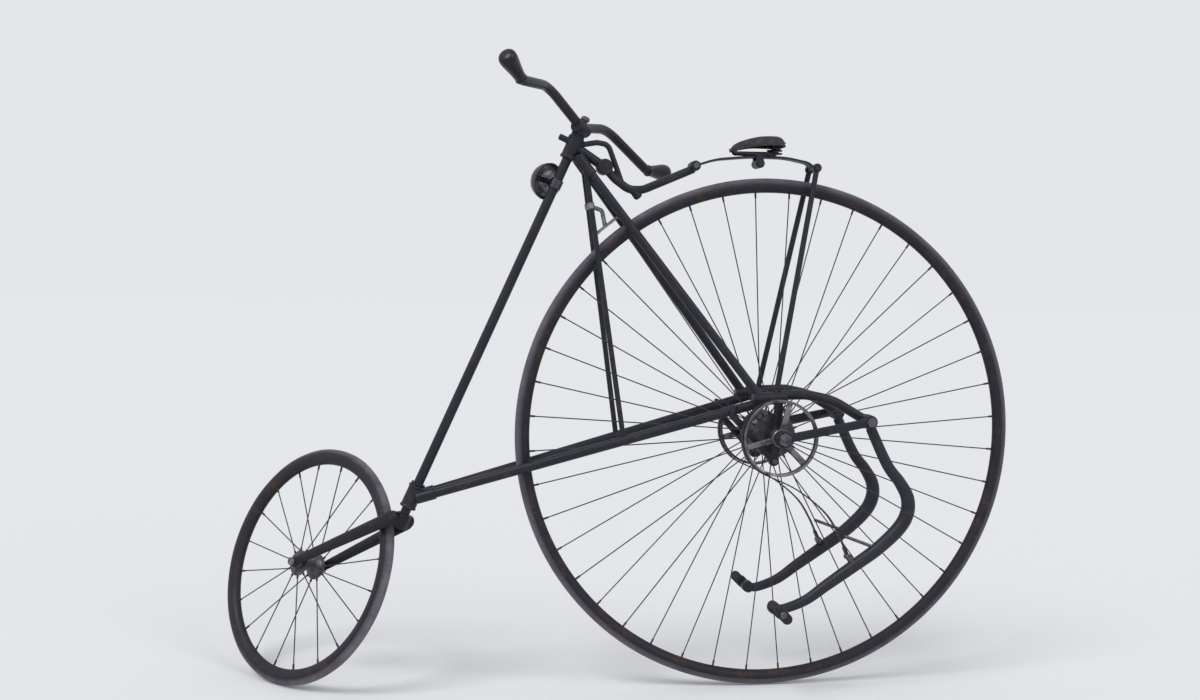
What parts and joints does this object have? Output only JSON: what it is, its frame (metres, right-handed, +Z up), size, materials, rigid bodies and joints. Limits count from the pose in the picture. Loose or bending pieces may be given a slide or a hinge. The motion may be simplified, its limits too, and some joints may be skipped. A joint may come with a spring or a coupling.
{
  "type": "lever-driven high-wheel bicycle",
  "caption": "Old bicycle with a small steered front wheel, a big driven rear wheel, hanging pedal levers that turn strap drums, a sprung leather saddle and a moustache handlebar",
  "frame": {"origin": "top of the saddle, on the machine's centre plane, where the rider sits", "axes": "+X forward, +Y to the left, +Z up"},
  "size_m": [2.0207, 0.7212, 1.5485],
  "materials": {
    "frame_paint": "satin",
    "wheel_paint": "satin",
    "worn_iron": "satin",
    "bright_steel": "worn",
    "grey_rubber": "matte",
    "grip_horn": "matte",
    "brown_leather": "worn"
  },
  "bodies": {
    "frame": {"upper_head": "frame_paint", "lower_head": "frame_paint", "left_upper_tube": "frame_paint", "right_upper_tube": "frame_paint", "left_lower_tube": "frame_paint", "right_lower_tube": "frame_paint", "left_front_strut": "frame_paint", "right_front_strut": "frame_paint", "left_axle_bracket": "frame_paint", "right_axle_bracket": "frame_paint", "left_lever_carrier": "frame_paint", "right_lever_carrier": "frame_paint", "spring_bracket": "frame_paint", "seat_spring": "worn_iron", "spring_yoke": "frame_paint", "left_seat_stay": "frame_paint", "right_seat_stay": "frame_paint", "saddle_frame": "worn_iron", "saddle_leather": "brown_leather", "brake_spoon": "frame_paint", "left_strap": "brown_leather", "right_strap": "brown_leather"},
    "steering": {"steering_column": "frame_paint", "front_fork": "frame_paint", "front_axle": "bright_steel", "handlebar": "bright_steel", "handlebar_clamp": "bright_steel", "left_grip": "grip_horn", "right_grip": "grip_horn", "bell": "bright_steel"},
    "front_wheel": {"front_tyre": "grey_rubber", "front_rim": "wheel_paint", "front_spokes": "wheel_paint", "front_hub": "worn_iron"},
    "rear_wheel": {"rear_tyre": "grey_rubber", "rear_rim": "wheel_paint", "rear_spokes": "wheel_paint", "rear_hub": "worn_iron", "rear_axle": "bright_steel"},
    "left_drum": {"left_drum": "worn_iron"},
    "right_drum": {"right_drum": "worn_iron"},
    "left_lever": {"left_lever": "worn_iron"},
    "right_lever": {"right_lever": "worn_iron"},
    "left_pedal": {"left_pedal_frame": "bright_steel", "left_pedal_rubbers": "grey_rubber"},
    "right_pedal": {"right_pedal_frame": "bright_steel", "right_pedal_rubbers": "grey_rubber"}
  },
  "joints": [
    {"name": "steering", "type": "hinge", "parent": "frame", "child": "steering", "pos_m": [0.9155, 0, -1], "axis": [-0.4063, 0, 0.9138], "range_deg": [-8, 111]},
    {"name": "front_wheel_spin", "type": "hinge", "parent": "steering", "child": "front_wheel", "pos_m": [1.13338, -0.19403, -1.11106], "axis": [0.7158, 0.6216, 0.3182], "continuous": true},
    {"name": "rear_wheel_spin", "type": "hinge", "parent": "frame", "child": "rear_wheel", "pos_m": [-0.023, 0, -0.7523], "axis": [0, 1, 0], "continuous": true},
    {"name": "left_lever_swing", "type": "hinge", "parent": "frame", "child": "left_lever", "pos_m": [-0.245, 0.125, -0.71], "axis": [0, -1, 0], "range_deg": [0, 38], "deforming": ["left_strap"]},
    {"name": "left_drum_spin", "type": "hinge", "parent": "frame", "child": "left_drum", "pos_m": [-0.023, 0.117, -0.7523], "axis": [0, -1, 0], "range_deg": [0, 122]},
    {"name": "left_pedal_spin", "type": "hinge", "parent": "left_lever", "child": "left_pedal", "pos_m": [-0.013, 0.177, -1.173], "axis": [0, 1, 0], "continuous": true},
    {"name": "right_lever_swing", "type": "hinge", "parent": "frame", "child": "right_lever", "pos_m": [-0.245, -0.125, -0.71], "axis": [0, -1, 0], "range_deg": [0, 38], "deforming": ["right_strap"]},
    {"name": "right_drum_spin", "type": "hinge", "parent": "frame", "child": "right_drum", "pos_m": [-0.023, -0.117, -0.7523], "axis": [0, -1, 0], "range_deg": [0, 122]},
    {"name": "right_pedal_spin", "type": "hinge", "parent": "right_lever", "child": "right_pedal", "pos_m": [-0.013, -0.177, -1.173], "axis": [0, 1, 0], "continuous": true}
  ],
  "couplings": [
    {"joint": "left_drum_spin", "follows": "left_lever_swing", "ratio": 3.2},
    {"joint": "right_drum_spin", "follows": "right_lever_swing", "ratio": 3.2}
  ]
}
